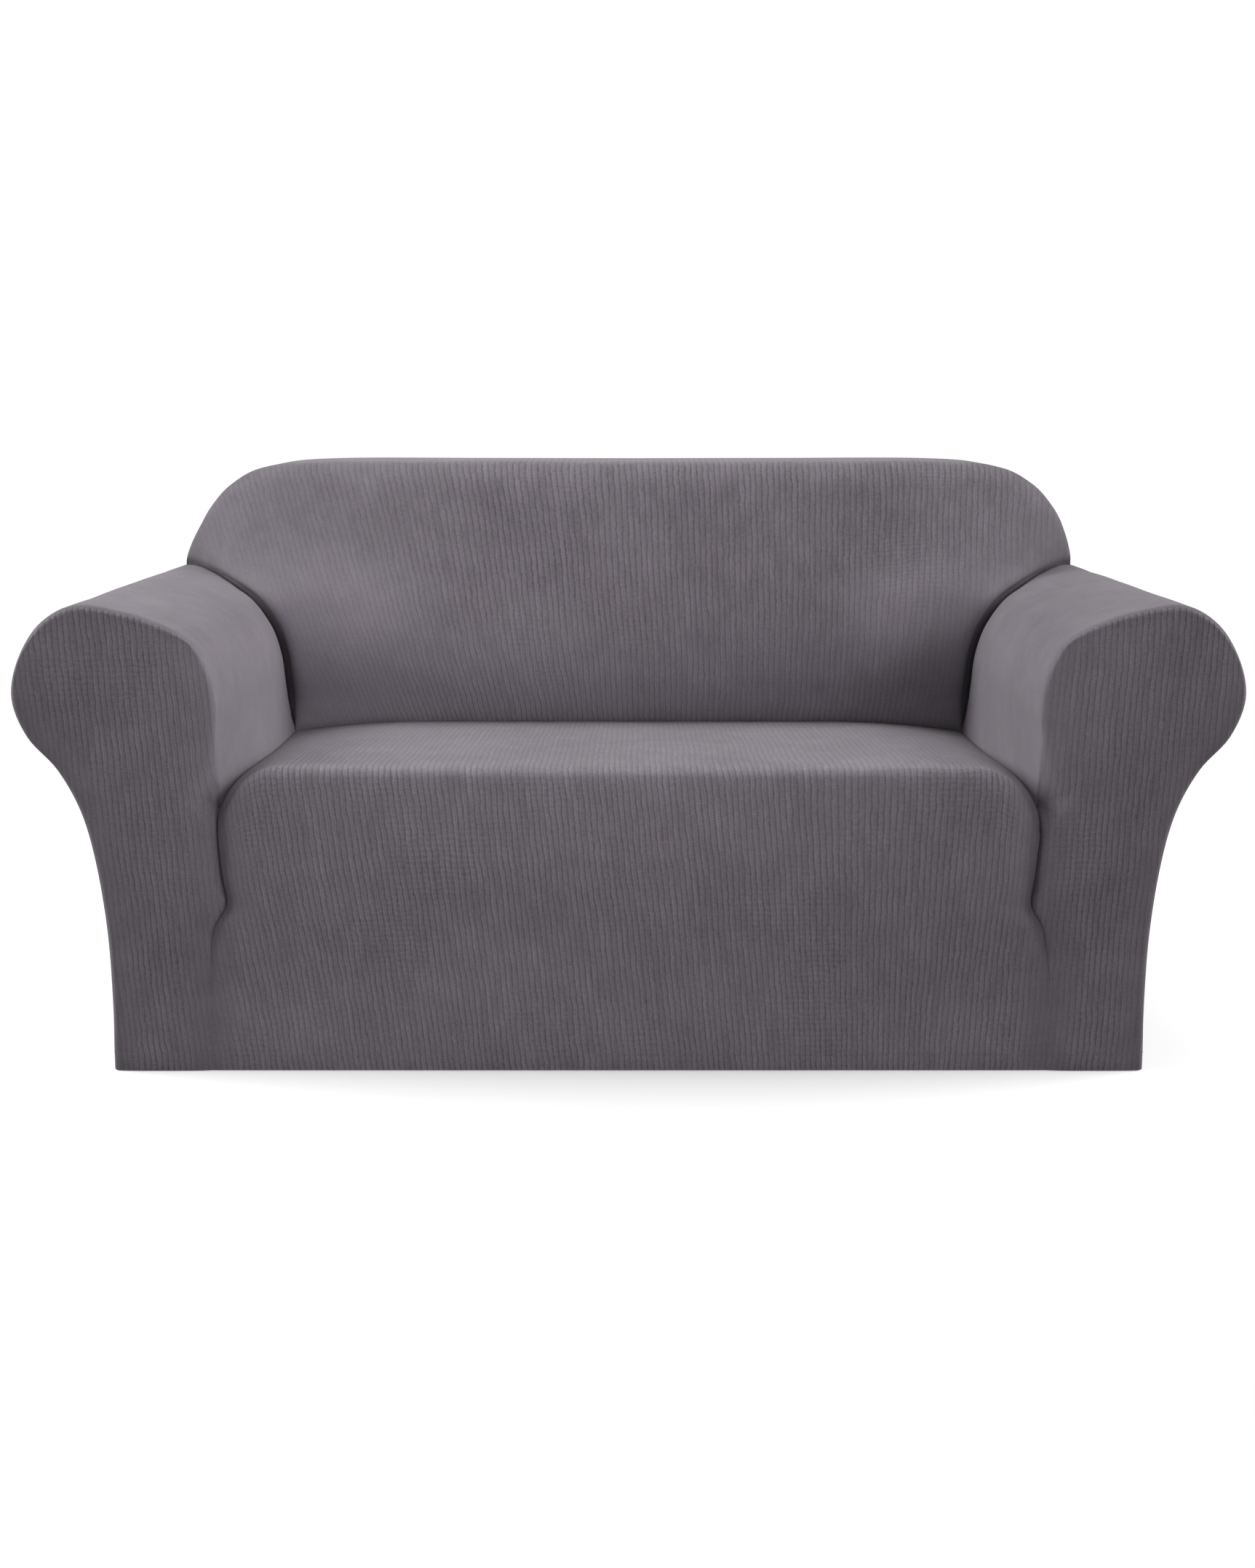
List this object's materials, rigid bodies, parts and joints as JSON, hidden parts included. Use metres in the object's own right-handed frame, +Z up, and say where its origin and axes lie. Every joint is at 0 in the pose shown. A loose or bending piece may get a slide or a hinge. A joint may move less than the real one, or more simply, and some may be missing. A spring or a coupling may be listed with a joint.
{
  "type": "sofa slipcover",
  "caption": "Fitted stretch slipcover in the shape of a two-seat sofa with rolled arms, hollow and open underneath, in ribbed grey cloth.",
  "frame": {"origin": "on the underside of the cover's top, in the middle of its width, where it rests on top of the sofa's back", "axes": "+X along the sofa's width to the right as seen from the front, +Y to the rear, +Z up"},
  "size_m": [1.679, 0.8345, 0.8282],
  "materials": {
    "cloth": "matte ribbed stretch knit"
  },
  "bodies": {
    "root": {"inside_back": "cloth", "outside_back": "cloth", "seat_front": "cloth", "arm_left": "cloth", "arm_right": "cloth", "arm_front_left": "cloth", "arm_front_right": "cloth"}
  },
  "joints": []
}
